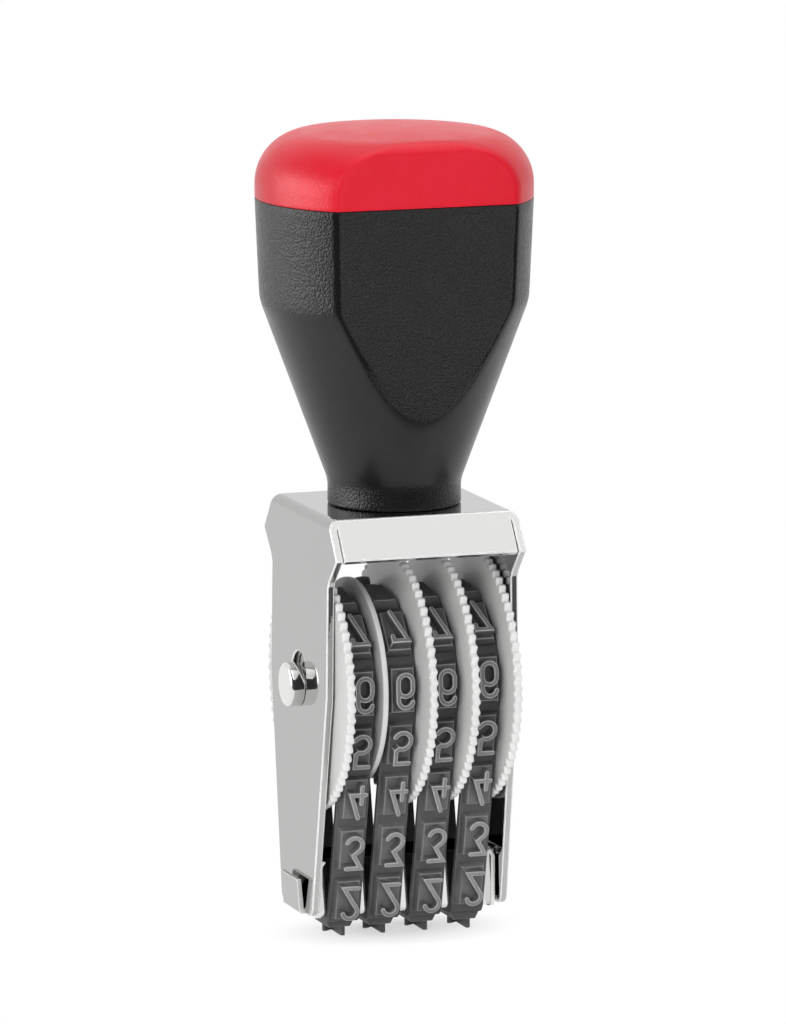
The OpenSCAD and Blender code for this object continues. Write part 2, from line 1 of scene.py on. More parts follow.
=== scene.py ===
import bpy
import bmesh
import math
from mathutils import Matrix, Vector


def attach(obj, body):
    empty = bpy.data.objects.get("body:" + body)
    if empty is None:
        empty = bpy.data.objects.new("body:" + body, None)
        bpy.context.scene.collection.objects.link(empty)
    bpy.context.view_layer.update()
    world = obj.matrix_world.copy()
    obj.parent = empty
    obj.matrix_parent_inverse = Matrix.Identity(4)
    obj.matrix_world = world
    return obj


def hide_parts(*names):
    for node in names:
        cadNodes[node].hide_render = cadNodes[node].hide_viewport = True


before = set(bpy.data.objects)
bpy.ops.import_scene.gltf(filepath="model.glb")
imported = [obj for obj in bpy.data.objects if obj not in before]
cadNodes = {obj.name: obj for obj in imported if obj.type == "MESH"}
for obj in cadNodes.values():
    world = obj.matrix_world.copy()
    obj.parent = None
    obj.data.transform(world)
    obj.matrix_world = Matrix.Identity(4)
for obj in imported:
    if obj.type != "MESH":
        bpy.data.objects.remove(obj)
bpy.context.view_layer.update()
mm = 0.001
# height of the axle, in millimetres
axleHeight = 33.84
print("frame loaded with", len(cadNodes), "pieces")


# small helpers for shader trees
def addNode(tree, kind, values=None, **settings):
    made = tree.nodes.new(kind)
    for key, value in settings.items():
        setattr(made, key, value)
    for key, value in (values or {}).items():
        made.inputs[key].default_value = value
    return made


def wire(tree, fromNode, fromSocket, toNode, toSocket):
    tree.links.new(fromNode.outputs[fromSocket], toNode.inputs[toSocket])


def newGroup(name, inputs, outputs):
    group = bpy.data.node_groups.new(name, "ShaderNodeTree")
    for socketName, value in inputs.items():
        socket = group.interface.new_socket(socketName, in_out="INPUT", socket_type="NodeSocketFloat")
        socket.default_value = value
    for socketName in outputs:
        group.interface.new_socket(socketName, in_out="OUTPUT", socket_type="NodeSocketFloat")
    return group, group.nodes.new("NodeGroupInput"), group.nodes.new("NodeGroupOutput")


def useGroup(tree, group, **values):
    made = tree.nodes.new("ShaderNodeGroup")
    made.node_tree = group
    for key, value in values.items():
        made.inputs[key].default_value = value
    return made


# moulded grain: soft pebbles with finer noise over them
grainSet = {"softness": 0.9, "detail": 2.0, "roughness": 0.55, "finerBy": 1.7}


def makeGrainGroup(g):
    group, entry, leave = newGroup("mouldedGrain", {"Scale": 2200.0, "Fine": 0.35}, ["Height"])
    place = addNode(group, "ShaderNodeTexCoord")
    pebbles = addNode(group, "ShaderNodeTexVoronoi", {"Smoothness": g["softness"], "Randomness": 1.0},
                      feature="SMOOTH_F1")
    noise = addNode(group, "ShaderNodeTexNoise", {"Detail": g["detail"], "Roughness": g["roughness"]})
    finer = addNode(group, "ShaderNodeMath", {1: g["finerBy"]}, operation="MULTIPLY")
    share = addNode(group, "ShaderNodeMath", operation="MULTIPLY")
    total = addNode(group, "ShaderNodeMath", operation="SUBTRACT")
    wire(group, place, "Object", pebbles, "Vector")
    wire(group, place, "Object", noise, "Vector")
    wire(group, entry, "Scale", pebbles, "Scale")
    wire(group, entry, "Scale", finer, 0)
    wire(group, finer, 0, noise, "Scale")
    wire(group, noise, "Fac", share, 0)
    wire(group, entry, "Fine", share, 1)
    wire(group, share, 0, total, 0)
    wire(group, pebbles, "Distance", total, 1)
    wire(group, total, 0, leave, "Height")
    return group


# uneven gloss: a soft cloud between two values
cloudSet = {"detail": 4.0, "roughness": 0.6, "from": 0.3, "to": 0.7}


def makeCloudGroup(c):
    group, entry, leave = newGroup("softCloud", {"Scale": 90.0, "Low": 0.4, "High": 0.5}, ["Value"])
    place = addNode(group, "ShaderNodeTexCoord")
    noise = addNode(group, "ShaderNodeTexNoise", {"Detail": c["detail"], "Roughness": c["roughness"]})
    spread = addNode(group, "ShaderNodeMapRange", {"From Min": c["from"], "From Max": c["to"]})
    wire(group, place, "Object", noise, "Vector")
    wire(group, entry, "Scale", noise, "Scale")
    wire(group, noise, "Fac", spread, "Value")
    wire(group, entry, "Low", spread, "To Min")
    wire(group, entry, "High", spread, "To Max")
    wire(group, spread, "Result", leave, "Value")
    return group


# painted highlight along broken edges: the piece's own edge mark, broken up by noise
highlightSet = {"detail": 3.0, "roughness": 0.6, "from": 0.25, "to": 0.6, "least": 0.80}


def makeHighlightGroup(r):
    group, entry, leave = newGroup("paintedEdgeHighlight", {"Scale": 900.0, "Amount": 1.0}, ["Mask"])
    place = addNode(group, "ShaderNodeTexCoord")
    mark = addNode(group, "ShaderNodeAttribute", attribute_name="edgeMark")
    noise = addNode(group, "ShaderNodeTexNoise", {"Detail": r["detail"], "Roughness": r["roughness"]})
    broken = addNode(group, "ShaderNodeMapRange", {"From Min": r["from"], "From Max": r["to"],
                                                   "To Min": r["least"], "To Max": 1.0})
    both = addNode(group, "ShaderNodeMath", operation="MULTIPLY")
    shown = addNode(group, "ShaderNodeMath", operation="MULTIPLY")
    wire(group, place, "Object", noise, "Vector")
    wire(group, entry, "Scale", noise, "Scale")
    wire(group, noise, "Fac", broken, "Value")
    wire(group, mark, "Fac", both, 0)
    wire(group, broken, "Result", both, 1)
    wire(group, both, 0, shown, 0)
    wire(group, entry, "Amount", shown, 1)
    wire(group, shown, 0, leave, "Mask")
    return group


grainGroup = makeGrainGroup(grainSet)
cloudGroup = makeCloudGroup(cloudSet)
highlightGroup = makeHighlightGroup(highlightSet)


def newMaterial(name):
    material = bpy.data.materials.new(name)
    material.use_nodes = True
    tree = material.node_tree
    return material, tree, tree.nodes["Principled BSDF"]


def tintBy(tree, maskNode, maskSocket, plain, marked, shader):
    mix = addNode(tree, "ShaderNodeMix", data_type="RGBA")
    mix.inputs["A"].default_value = (*plain, 1.0)
    mix.inputs["B"].default_value = (*marked, 1.0)
    tree.links.new(maskNode.outputs[maskSocket], mix.inputs["Factor"])
    tree.links.new(mix.outputs["Result"], shader.inputs["Base Color"])
    return mix


def bumpFrom(tree, heightNode, heightSocket, strength, distance, shader):
    bump = addNode(tree, "ShaderNodeBump", {"Strength": strength, "Distance": distance})
    tree.links.new(heightNode.outputs[heightSocket], bump.inputs["Height"])
    tree.links.new(bump.outputs["Normal"], shader.inputs["Normal"])
    return bump


# finishes: colours, then grain, gloss and bump, with places and depths in metres
capFinish = {"colour": (0.755, 0.002, 0.020), "paler": (0.79, 0.005, 0.027), "cloudScale": 140.0,
             "glossScale": 260.0, "glossLow": 0.30, "glossHigh": 0.38, "shine": 0.38,
             "grain": 3600.0, "fine": 0.6, "bump": 0.45, "depth": 0.00007}
handleFinish = {"colour": (0.0060, 0.0060, 0.0063), "paler": (0.0095, 0.0095, 0.0098), "cloudScale": 120.0,
                "glossScale": 300.0, "glossLow": 0.25, "glossHigh": 0.33, "shine": 0.42,
                "grain": 3500.0, "fine": 0.7, "bump": 0.9, "depth": 0.00060,
                "grainFrom": 0.0843, "fadeBelow": 0.0012, "fadeAbove": 0.0006, "roundGrain": 0.20,
                "draft": 0.035, "flatFrom": 0.00965, "flatTo": 0.0098,
                "collar": 0.0607, "collarFade": 0.0004, "collarGrain": 0.15,
                "polish": 0.20, "lineLow": 0.15, "lineHigh": 0.75, "lineFrom": 0.0715, "lineTo": 0.0775}
# the pale colour on broken edges is a painted highlight; sheared faces take part of it as their own duller
# tone
nickelFinish = {"colour": (0.42, 0.42, 0.415), "outer": (0.42, 0.42, 0.415), "paleHighlightOrCut": (0.95, 0.95, 0.94),
                "brush": (500.0, 500.0, 60.0), "detail": 3.0, "roughness": 0.6, "from": 0.3, "to": 0.7,
                "low": 0.05, "high": 0.10, "matte": 0.80, "sheared": 0.12, "highlightScale": 700.0,
                "tornScale": 1800.0, "tornLow": 0.30, "tornHigh": 0.42,
                "waveScale": 55.0, "bump": 0.04, "depth": 0.00002}
# the bridge's nickel is paler than the frame's, a painted reflection on its trough; its hooks keep the
# frame's tone
bridgeFinish = dict(nickelFinish, colour=(0.78, 0.78, 0.77), sheared=0.5, brush=(60.0, 500.0, 500.0))
# the axle's nickel is paler than the frame's, a painted reflection on its head
axleFinish = dict(nickelFinish, colour=(0.77, 0.77, 0.76), paleHighlightOrCut=(0.86, 0.86, 0.85),
                  brush=(2500.0, 300.0, 300.0))
fixingFinish = dict(nickelFinish, low=0.25, high=0.4, brush=(300.0, 300.0, 900.0))
whiteFinish = {"colour": (0.86, 0.86, 0.85), "paler": (0.90, 0.90, 0.89), "cloudScale": 160.0,
               "glossScale": 420.0, "glossLow": 0.30, "glossHigh": 0.42,
               "grain": 5200.0, "fine": 1.0, "bump": 0.12, "depth": 0.00002}
separatorFinish = dict(whiteFinish, colour=(0.71, 0.71, 0.71), paler=(0.77, 0.77, 0.77),
                       glossLow=0.28, glossHigh=0.38)
# greys by relief: darker low in the recesses as painted shade, paler on the raised faces as painted light
rubberFinish = {"recess": 0.054, "flank": 0.080, "pad": 0.092, "face": 0.165,
                "recessTo": 0.25, "faceFrom": 1.0,
                "between": ((0.45, "flank"), (0.56, "pad"), (0.62, "flank"), (0.92, "pad")),
                "cloudScale": 500.0, "cloudLow": 0.86, "cloudHigh": 1.12,
                # the lower part of the bands is painted paler, standing in for light thrown up from the
                # floor
                "paintedLowLight": 1.7, "paintedLightBelow": 0.016, "paintedLightEndsAbove": 0.030,
                # the feet are painted darker, a painted shade of their contact with the floor
                "paintedFootShade": 0.5, "footShadeBelow": 0.001, "footShadeEnds": 0.006,
                # a painted highlight along the broken edges, stronger the higher they stand
                "paleHighlightOrCut": 0.52, "highlightScale": 1100.0, "highlightFrom": 0.45, "highlightTo": 0.95,
                "highlightLeast": 0.08, "highlightMost": 0.95,
                "glossScale": 700.0, "glossLow": 0.46, "glossHigh": 0.62,
                "grain": 6500.0, "fine": 1.0, "bump": 0.25, "depth": 0.00003}


# tint and gloss that most finishes share, both a little uneven
def makeCloudy(tree, f, shader):
    cloud = useGroup(tree, cloudGroup, Scale=f["cloudScale"], Low=0.0, High=1.0)
    gloss = useGroup(tree, cloudGroup, Scale=f["glossScale"], Low=f["glossLow"], High=f["glossHigh"])
    tintBy(tree, cloud, "Value", f["colour"], f["paler"], shader)
    return gloss


def makeCapMaterial(f):
    material, tree, shader = newMaterial("capRed")
    gloss = makeCloudy(tree, f, shader)
    grain = useGroup(tree, grainGroup, Scale=f["grain"], Fine=f["fine"])
    wire(tree, gloss, "Value", shader, "Roughness")
    bumpFrom(tree, grain, "Height", f["bump"], f["depth"], shader)
    shader.inputs["Specular IOR Level"].default_value = f["shine"]
    return material


# grain on the upright part and on the flats, satin on the cone, a polished line where flat and round meet
def makeHandleMaterial(f):
    material, tree, shader = newMaterial("handleBlack")
    place = addNode(tree, "ShaderNodeTexCoord")
    parts = addNode(tree, "ShaderNodeSeparateXYZ")
    height = addNode(tree, "ShaderNodeMapRange", {"From Min": f["grainFrom"] - f["fadeBelow"],
                                                  "From Max": f["grainFrom"] + f["fadeAbove"],
                                                  "To Max": f["roundGrain"]})
    depth = addNode(tree, "ShaderNodeMath", operation="ABSOLUTE")
    draft = addNode(tree, "ShaderNodeMath", {1: f["draft"]}, operation="MULTIPLY")
    upright = addNode(tree, "ShaderNodeMath", operation="SUBTRACT")
    flat = addNode(tree, "ShaderNodeMapRange", {"From Min": f["flatFrom"], "From Max": f["flatTo"]})
    either = addNode(tree, "ShaderNodeMath", operation="MAXIMUM")
    collar = addNode(tree, "ShaderNodeMapRange", {"From Min": f["collar"] + f["collarFade"],
                                                  "From Max": f["collar"] - f["collarFade"],
                                                  "To Max": f["collarGrain"]})
    anyPlace = addNode(tree, "ShaderNodeMath", operation="MAXIMUM")
    grain = useGroup(tree, grainGroup, Scale=f["grain"], Fine=f["fine"])
    grown = addNode(tree, "ShaderNodeMath", operation="MULTIPLY")
    meeting = addNode(tree, "ShaderNodeAttribute", attribute_name="flatEdge")
    close = addNode(tree, "ShaderNodeMapRange", {"From Min": f["lineLow"], "From Max": f["lineHigh"]})
    upper = addNode(tree, "ShaderNodeMapRange", {"From Min": f["lineFrom"], "From Max": f["lineTo"]})
    line = addNode(tree, "ShaderNodeMath", operation="MULTIPLY")
    apart = addNode(tree, "ShaderNodeMath", {0: 1.0}, operation="SUBTRACT")
    faded = addNode(tree, "ShaderNodeMath", operation="MULTIPLY")
    polish = addNode(tree, "ShaderNodeMix", data_type="FLOAT")
    polish.inputs["B"].default_value = f["polish"]
    gloss = makeCloudy(tree, f, shader)
    wire(tree, place, "Object", parts, "Vector")
    wire(tree, parts, "Z", height, "Value")
    wire(tree, parts, "Y", depth, 0)
    wire(tree, parts, "Z", draft, 0)
    wire(tree, depth, 0, upright, 0)
    wire(tree, draft, 0, upright, 1)
    wire(tree, upright, 0, flat, "Value")
    wire(tree, height, "Result", either, 0)
    wire(tree, flat, "Result", either, 1)
    wire(tree, parts, "Z", collar, "Value")
    wire(tree, either, 0, anyPlace, 0)
    wire(tree, collar, "Result", anyPlace, 1)
    wire(tree, grain, "Height", grown, 0)
    wire(tree, anyPlace, 0, grown, 1)
    wire(tree, meeting, "Fac", close, "Value")
    wire(tree, parts, "Z", upper, "Value")
    wire(tree, close, "Result", line, 0)
    wire(tree, upper, "Result", line, 1)
    wire(tree, line, 0, apart, 1)
    wire(tree, grown, 0, faded, 0)
    wire(tree, apart, 0, faded, 1)
    wire(tree, line, 0, polish, "Factor")
    wire(tree, gloss, "Value", polish, "A")
    wire(tree, polish, "Result", shader, "Roughness")
    bumpFrom(tree, faded, 0, f["bump"], f["depth"], shader)
    shader.inputs["Specular IOR Level"].default_value = f["shine"]
    return material


# nickel: fine brushed lines, paler and duller on sheared faces, and a painted highlight, pale and less
# metallic, on the broken edges
def makeNickelMaterial(name, f):
    material, tree, shader = newMaterial(name)
    place = addNode(tree, "ShaderNodeTexCoord")
    stretch = addNode(tree, "ShaderNodeMapping", {"Scale": f["brush"]})
    lines = addNode(tree, "ShaderNodeTexNoise", {"Scale": 1.0, "Detail": f["detail"],
                                                 "Roughness": f["roughness"]})
    gloss = addNode(tree, "ShaderNodeMapRange", {"From Min": f["from"], "From Max": f["to"],
                                                 "To Min": f["low"], "To Max": f["high"]})
    sheared = addNode(tree, "ShaderNodeAttribute", attribute_name="cutEdge")
    outside = addNode(tree, "ShaderNodeAttribute", attribute_name="outerFace")
    part = addNode(tree, "ShaderNodeMath", {1: f["sheared"]}, operation="MULTIPLY")
    highlitOrSheared = addNode(tree, "ShaderNodeMath", operation="MAXIMUM")
    dull = addNode(tree, "ShaderNodeMix", data_type="FLOAT")
    torn = useGroup(tree, cloudGroup, Scale=f["tornScale"], Low=f["tornLow"], High=f["tornHigh"])
    plain = addNode(tree, "ShaderNodeMix", data_type="RGBA")
    plain.inputs["A"].default_value = (*f["colour"], 1.0)
    plain.inputs["B"].default_value = (*f["outer"], 1.0)
    bare = addNode(tree, "ShaderNodeMapRange", {"To Min": 1.0, "To Max": 1.0 - f["matte"]})
    waves = useGroup(tree, cloudGroup, Scale=f["waveScale"], Low=0.0, High=1.0)
    highlightMask = useGroup(tree, highlightGroup, Scale=f["highlightScale"], Amount=1.0)
    wire(tree, place, "Object", stretch, "Vector")
    wire(tree, stretch, "Vector", lines, "Vector")
    wire(tree, lines, "Fac", gloss, "Value")
    wire(tree, sheared, "Fac", part, 0)
    # painted highlight: broken edges turn pale and less metallic; sheared faces share part of this
    wire(tree, highlightMask, "Mask", highlitOrSheared, 0)
    wire(tree, part, 0, highlitOrSheared, 1)
    wire(tree, highlitOrSheared, 0, dull, "Factor")
    wire(tree, gloss, "Result", dull, "A")
    wire(tree, torn, "Value", dull, "B")
    wire(tree, dull, "Result", shader, "Roughness")
    wire(tree, highlitOrSheared, 0, bare, "Value")
    wire(tree, bare, "Result", shader, "Metallic")
    wire(tree, outside, "Fac", plain, "Factor")
    shown = tintBy(tree, highlitOrSheared, 0, f["colour"], f["paleHighlightOrCut"], shader)
    tree.links.new(plain.outputs["Result"], shown.inputs["A"])
    bumpFrom(tree, waves, "Value", f["bump"], f["depth"], shader)
    return material


def makePlasticMaterial(name, f):
    material, tree, shader = newMaterial(name)
    gloss = makeCloudy(tree, f, shader)
    grain = useGroup(tree, grainGroup, Scale=f["grain"], Fine=f["fine"])
    wire(tree, gloss, "Value", shader, "Roughness")
    bumpFrom(tree, grain, "Height", f["bump"], f["depth"], shader)
    return material


# one grey as a colour
def grey(level):
    return (level,) * 3 + (1.0,)


# rubber: painted shade darkens the recesses and painted light makes the printing faces paler, a painted
# highlight runs along the edges, painted bounce light makes the lower part paler, and painted shade darkens
# the feet
def makeRubberMaterial(f):
    material, tree, shader = newMaterial("bandRubber")
    # painted shade and light: the deeper a point lies in the relief, the darker its grey
    relief = addNode(tree, "ShaderNodeAttribute", attribute_name="relief")
    ramp = addNode(tree, "ShaderNodeValToRGB")
    stops = ramp.color_ramp.elements
    stops[0].position, stops[0].color = f["recessTo"], grey(f["recess"])
    stops[1].position, stops[1].color = f["faceFrom"], grey(f["face"])
    for position, zone in f["between"]:
        stops.new(position).color = grey(f[zone])
    cloud = useGroup(tree, cloudGroup, Scale=f["cloudScale"], Low=f["cloudLow"], High=f["cloudHigh"])
    place = addNode(tree, "ShaderNodeTexCoord")
    parts = addNode(tree, "ShaderNodeSeparateXYZ")
    # painted light: paler below a height
    lowLight = addNode(tree, "ShaderNodeMapRange", {"From Min": f["paintedLightBelow"], "From Max": f["paintedLightEndsAbove"],
                                                "To Min": f["paintedLowLight"], "To Max": 1.0})
    # painted shade: darker at the feet, near the floor
    footShade = addNode(tree, "ShaderNodeMapRange", {"From Min": f["footShadeBelow"], "From Max": f["footShadeEnds"],
                                               "To Min": f["paintedFootShade"], "To Max": 1.0})
    tone = addNode(tree, "ShaderNodeMath", operation="MULTIPLY")
    shadedTone = addNode(tree, "ShaderNodeMath", operation="MULTIPLY")
    uneven = addNode(tree, "ShaderNodeMix", {"Factor": 1.0}, data_type="RGBA", blend_type="MULTIPLY")
    highlightMask = useGroup(tree, highlightGroup, Scale=f["highlightScale"], Amount=1.0)
    reached = addNode(tree, "ShaderNodeMapRange", {"From Min": f["highlightFrom"], "From Max": f["highlightTo"],
                                                   "To Min": f["highlightLeast"], "To Max": f["highlightMost"]})
    paleHighlightOrCut = addNode(tree, "ShaderNodeMath", operation="MULTIPLY")
    # painted highlight: broken edges go pale, more the higher they stand
    highlitOrSheared = addNode(tree, "ShaderNodeMix", data_type="RGBA")
    highlitOrSheared.inputs["B"].default_value = grey(f["paleHighlightOrCut"])
    gloss = useGroup(tree, cloudGroup, Scale=f["glossScale"], Low=f["glossLow"], High=f["glossHigh"])
    grain = useGroup(tree, grainGroup, Scale=f["grain"], Fine=f["fine"])
    wire(tree, relief, "Fac", ramp, "Fac")
    tree.links.new(ramp.outputs["Color"], uneven.inputs["A"])
    wire(tree, place, "Object", parts, "Vector")
    wire(tree, parts, "Z", lowLight, "Value")
    wire(tree, cloud, "Value", tone, 0)
    wire(tree, lowLight, "Result", tone, 1)
    wire(tree, parts, "Z", footShade, "Value")
    wire(tree, tone, 0, shadedTone, 0)
    wire(tree, footShade, "Result", shadedTone, 1)
    tree.links.new(shadedTone.outputs[0], uneven.inputs["B"])
    tree.links.new(uneven.outputs["Result"], highlitOrSheared.inputs["A"])
    wire(tree, relief, "Fac", reached, "Value")
    wire(tree, highlightMask, "Mask", paleHighlightOrCut, 0)
    wire(tree, reached, "Result", paleHighlightOrCut, 1)
    tree.links.new(paleHighlightOrCut.outputs[0], highlitOrSheared.inputs["Factor"])
    tree.links.new(highlitOrSheared.outputs["Result"], shader.inputs["Base Color"])
    wire(tree, gloss, "Value", shader, "Roughness")
    bumpFrom(tree, grain, "Height", f["bump"], f["depth"], shader)
    return material


capRed = makeCapMaterial(capFinish)
handleBlack = makeHandleMaterial(handleFinish)
frameNickel = makeNickelMaterial("frameNickel", nickelFinish)
bridgeNickel = makeNickelMaterial("bridgeNickel", bridgeFinish)
axleNickel = makeNickelMaterial("axleNickel", axleFinish)
fixingSteel = makeNickelMaterial("fixingSteel", fixingFinish)
wheelWhite = makePlasticMaterial("wheelWhite", whiteFinish)
separatorGrey = makePlasticMaterial("separatorGrey", separatorFinish)
bandRubber = makeRubberMaterial(rubberFinish)
print("finishes made:", len(bpy.data.materials))


# points nearer than this are one point, in metres
weld = 1e-6
# how far large faces lead the shading of the small ones beside them
normalWeight = 90


# puts a finished bmesh in the scene
def makePiece(name, bm, material, body, replaced, smoothAngle):
    mesh = bpy.data.meshes.new(name)
    bm.to_mesh(mesh)
    bm.free()
    mesh.shade_smooth()
    mesh.set_sharp_from_angle(angle=math.radians(smoothAngle))
    mesh.materials.append(material)
    piece = bpy.data.objects.new(name, mesh)
    bpy.context.scene.collection.objects.link(piece)
    level = piece.modifiers.new("levelNormals", "WEIGHTED_NORMAL")
    level.keep_sharp, level.weight = True, normalWeight
    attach(piece, body)
    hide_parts(replaced)
    return piece


# how near two values are, as a share of the width of the passage between them
def nearness(a, b, width):
    return max(width - abs(a - b), 0.0) / width


# lower of two values, with a soft passage of the given width
def softMin(a, b, width):
    return min(a, b) - nearness(a, b, width) ** 2 * width / 4


# points of an arc in a profile, angles in degrees
def profileArc(r, z, radius, start, end, steps):
    turns = [math.radians(start + (end - start) * i / steps) for i in range(steps + 1)]
    return [(r + radius * math.cos(t), z + radius * math.sin(t)) for t in turns]


# points along straight lines of a profile, no further apart than given
def evenSteps(corners, step):
    points = [corners[0]]
    for (r0, z0), (r1, z1) in zip(corners, corners[1:]):
        count = max(1, math.ceil(math.hypot(r1 - r0, z1 - z0) / step))
        points += [(r0 + (r1 - r0) * i / count, z0 + (z1 - z0) * i / count) for i in range(1, count + 1)]
    return points


# turns a profile in millimetres round the Z axis
def spinProfile(profile, steps):
    bm = bmesh.new()
    points = [bm.verts.new((r * mm, 0.0, z * mm)) for r, z in profile]
    lines = [bm.edges.new(pair) for pair in zip(points, points[1:])]
    bmesh.ops.spin(bm, geom=points + lines, cent=(0, 0, 0), axis=(0, 0, 1), angle=math.tau, steps=steps,
                   use_merge=True)
    bmesh.ops.remove_doubles(bm, verts=bm.verts, dist=weld)
    bmesh.ops.recalc_face_normals(bm, faces=bm.faces)
    return bm


# handle, in millimetres: a cone under an upright part, cut by two drafted flats with soft edges
handle = {"neck": 8.8, "foot": 57.4, "neckTop": 60.7, "cone": 17.7, "coneTop": 84.5, "grip": 18.3,
          "seam": 98.0, "halfDepth": 13.42, "draft": 0.035, "softEdge": 0.7, "rim": 0.14, "rimSteps": 3,
          "wall": 2.2, "wallShare": 0.6, "floorTop": 61.4, "hole": 2.7, "bend": 7.0, "bendSteps": 6,
          "footRound": 0.35, "footSteps": 4, "neckBend": ((0.0, -0.7), (0.06, -0.2), (0.2, 0.4)),
          "outsideStep": 0.9, "insideStep": 1.5, "steps": 384, "smooth": 40}


def makeHandle(h):
    slope = (h["cone"] - h["neck"]) / (h["coneTop"] - h["neckTop"])
    wallSlope = (h["grip"] - h["cone"]) / (h["seam"] - h["coneTop"])
    low = math.degrees(math.atan(slope))
    high = math.degrees(math.atan(wallSlope))
    reach = h["bend"] * math.tan(math.radians(low - high) / 2)
    slant = math.radians(low)
    start = (h["cone"] - reach * math.sin(slant), h["coneTop"] - reach * math.cos(slant))
    centre = (start[0] - h["bend"] * math.cos(slant), start[1] + h["bend"] * math.sin(slant))
    bendArc = profileArc(*centre, h["bend"], -low, -high, h["bendSteps"])
    collar = [(h["hole"], h["foot"]), (h["neck"] - h["footRound"], h["foot"])] + profileArc(
        h["neck"] - h["footRound"], h["foot"] + h["footRound"], h["footRound"], -90, 0, h["footSteps"])
    neckBend = [(h["neck"] + out, h["neckTop"] + up) for out, up in h["neckBend"]]
    rim = profileArc(h["grip"] - h["rim"], h["seam"] - h["rim"], h["rim"], 0, 90, h["rimSteps"])
    outside = evenSteps(collar + neckBend + bendArc + rim, h["outsideStep"])
    inside = evenSteps([(h["grip"] - h["wall"], h["seam"]), (h["cone"] - h["wall"], h["coneTop"]),
                        (h["neck"] - h["wall"], h["floorTop"]), (h["hole"], h["floorTop"]),
                        (h["hole"], h["foot"])], h["insideStep"])
    bm = spinProfile(outside + inside, h["steps"])
    meeting = bm.verts.layers.float.new("flatEdge")
    for v in bm.verts:
        z = v.co.z / mm
        radius = math.hypot(v.co.x, v.co.y) / mm
        outer = h["neck"] + slope * max(z - h["neckTop"], 0.0)
        outer = min(outer, h["cone"] + wallSlope * (z - h["coneTop"])) if z > h["neckTop"] else h["neck"]
        half = h["halfDepth"] - (h["seam"] - z) * h["draft"]
        if radius < outer - h["wall"] * h["wallShare"]:
            half -= h["wall"]
        elif z > h["seam"] - h["rim"]:
            half -= h["rim"] - math.sqrt(max(h["rim"] ** 2 - (z - h["seam"] + h["rim"]) ** 2, 0.0))
        v[meeting] = nearness(abs(v.co.y) / mm, half, h["softEdge"])
        side = softMin(abs(v.co.y) / mm, half, h["softEdge"])
        v.co.y = math.copysign(side * mm, v.co.y)
    bmesh.ops.recalc_face_normals(bm, faces=bm.faces)
    return makePiece("handleBody", bm, handleBlack, "stamp", "handle_body", h["smooth"])


# cap, in millimetres: shoulders that pass into a domed top, a soft brow over each flat,
# a plug in the handle
cap = {"radius": 18.3, "halfDepth": 13.42, "seam": 98.0, "top": 107.35, "shoulder": 6.9, "shoulderSteps": 30,
       "crown": 104.0, "crownSteps": 16, "brow": 2.3, "browRise": 0.12, "softEdge": 0.7,
       "rim": 0.14, "rimSteps": 3,
       "plug": 15.85, "plugHalf": 10.97, "plugLow": 94.0, "level": 0.01, "plugNear": 0.05,
       "innerStep": 1.5, "outerStep": 0.5, "steps": 384, "smooth": 40}


# height of the shoulder's centre and the turn at which the crown takes over
def domeJoint(half, shoulder, crown, top):
    rise = math.sqrt((crown - shoulder) ** 2 - (half - shoulder) ** 2)
    return top - crown + rise, math.degrees(math.atan2(rise, half - shoulder))


# half depth of the cap over its flats at a height
def browHalf(c, z):
    top = c["top"] + c["browRise"]
    centre, turn = domeJoint(c["halfDepth"], c["brow"], c["crown"], top)
    if z <= centre:
        return c["halfDepth"]
    if z - centre < c["brow"] * math.sin(math.radians(turn)):
        return c["halfDepth"] - c["brow"] + math.sqrt(c["brow"] ** 2 - (z - centre) ** 2)
    return math.sqrt(max(c["crown"] ** 2 - (z - top + c["crown"]) ** 2, 0.0))


def makeCap(c):
    inner = [(0.0, c["plugLow"]), (c["plug"], c["plugLow"]), (c["plug"], c["seam"]),
             (c["radius"] - c["rim"], c["seam"])]
    centre, turn = domeJoint(c["radius"], c["shoulder"], c["crown"], c["top"])
    rim = profileArc(c["radius"] - c["rim"], c["seam"] + c["rim"], c["rim"], -90, 0, c["rimSteps"])
    shoulder = profileArc(c["radius"] - c["shoulder"], centre, c["shoulder"], 0, turn, c["shoulderSteps"])
    crown = profileArc(0.0, c["top"] - c["crown"], c["crown"], turn, 90, c["crownSteps"])
    outer = evenSteps(rim[1:] + shoulder, c["outerStep"])
    bm = spinProfile(evenSteps(inner, c["innerStep"]) + outer + crown[1:], c["steps"])
    for v in bm.verts:
        z = v.co.z / mm
        radius = math.hypot(v.co.x, v.co.y) / mm
        half = browHalf(c, z)
        onSeam = z < c["seam"] + c["level"] and radius < c["plug"] + c["plugNear"]
        if z < c["seam"] - c["level"] or onSeam:
            half = c["plugHalf"]
        elif z < c["seam"] + c["rim"]:
            half -= c["rim"] - math.sqrt(max(c["rim"] ** 2 - (c["seam"] + c["rim"] - z) ** 2, 0.0))
        side = softMin(abs(v.co.y) / mm, half, c["softEdge"])
        v.co.y = math.copysign(side * mm, v.co.y)
    bmesh.ops.remove_doubles(bm, verts=bm.verts, dist=weld)
    bmesh.ops.recalc_face_normals(bm, faces=bm.faces)
    return makePiece("handleCap", bm, capRed, "stamp", "handle_cap", c["smooth"])


handlePiece = makeHandle(handle)
capPiece = makeCap(cap)
print("handle and cap made:", len(handlePiece.data.polygons), len(capPiece.data.polygons), "faces")


# how a solid's triangles are joined to plain faces, in metres and degrees
joining = {"weld": 2e-6, "flatWithin": 1.0}


